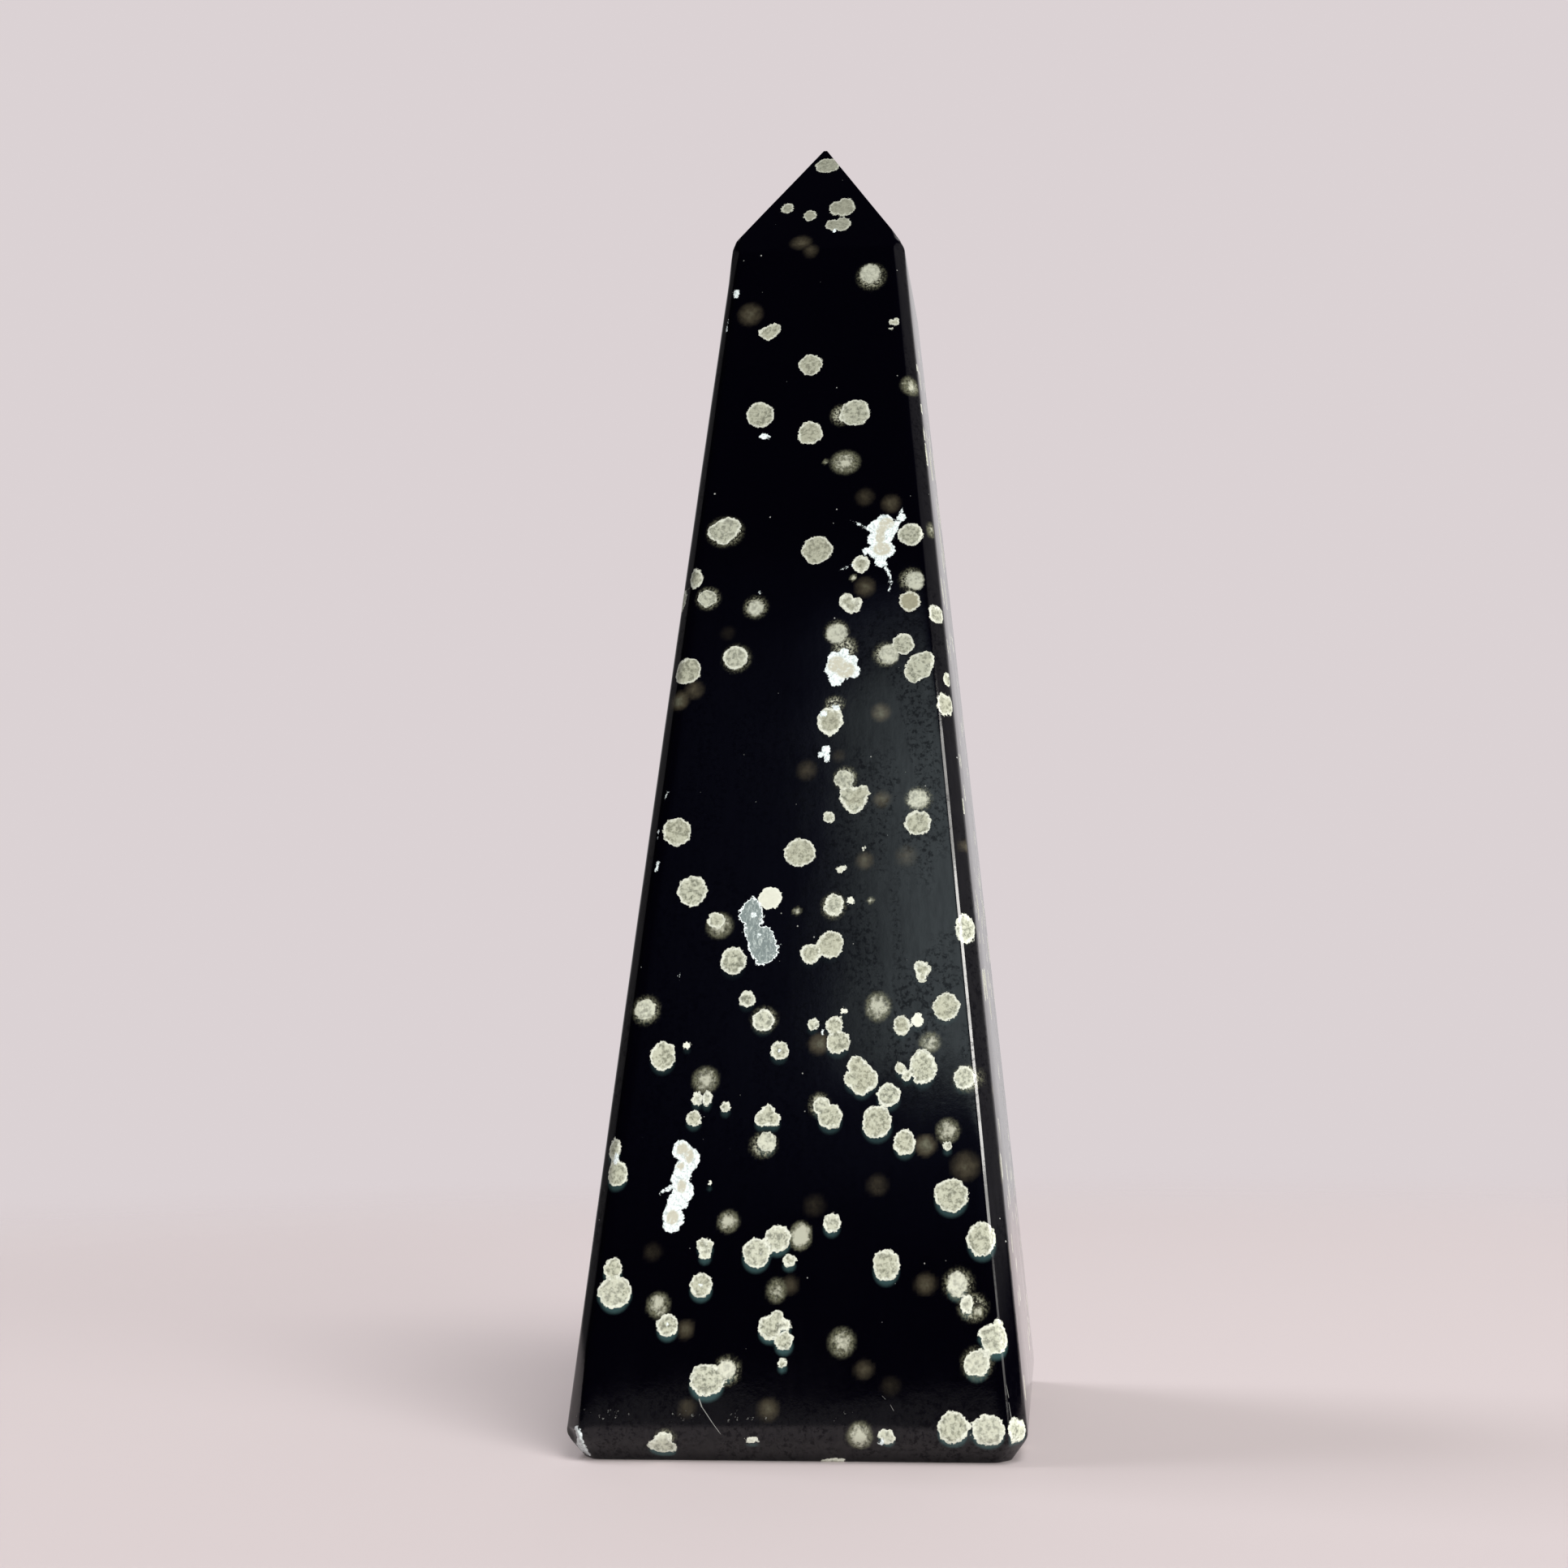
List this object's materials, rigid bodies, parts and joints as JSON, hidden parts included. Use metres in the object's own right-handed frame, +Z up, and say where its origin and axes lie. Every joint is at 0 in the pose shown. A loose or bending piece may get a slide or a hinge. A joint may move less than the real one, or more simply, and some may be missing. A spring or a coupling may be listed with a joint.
{
  "type": "obsidian obelisk",
  "caption": "Tapering square obelisk of polished black snowflake obsidian with a pyramid tip, narrow flats ground along its edges and a flat base to stand on.",
  "frame": {"origin": "middle of the underside of the base", "axes": "+Z up the obelisk from its base to its tip; -Y towards the viewer of its front face"},
  "size_m": [0.0354, 0.0354, 0.12],
  "materials": {
    "obsidian": "polished"
  },
  "bodies": {
    "root": {"obsidian_obelisk": "obsidian"}
  },
  "joints": []
}
